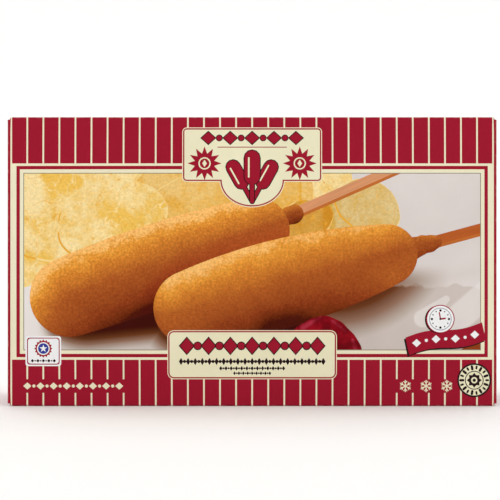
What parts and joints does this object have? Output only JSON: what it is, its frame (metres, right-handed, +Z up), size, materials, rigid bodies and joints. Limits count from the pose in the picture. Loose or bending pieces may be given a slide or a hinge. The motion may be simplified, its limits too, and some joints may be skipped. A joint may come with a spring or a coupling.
{
  "type": "frozen food carton",
  "caption": "Shut paperboard carton for frozen food, printed with pinstripes, framed picture panel and plaques of plain ornament, glued end flaps on both short sides",
  "frame": {"origin": "middle of the bottom panel, on the surface the carton stands on", "axes": "+X along the carton's width, to the right as the front is looked at; +Y from the front panel to the back panel; +Z up, from the bottom panel to the top panel"},
  "size_m": [0.2286, 0.074, 0.1358],
  "materials": {
    "printed_board": "coated boxboard with satin offset print, slight gloss over the ink"
  },
  "bodies": {
    "root": {"carton": "printed_board"}
  },
  "joints": []
}
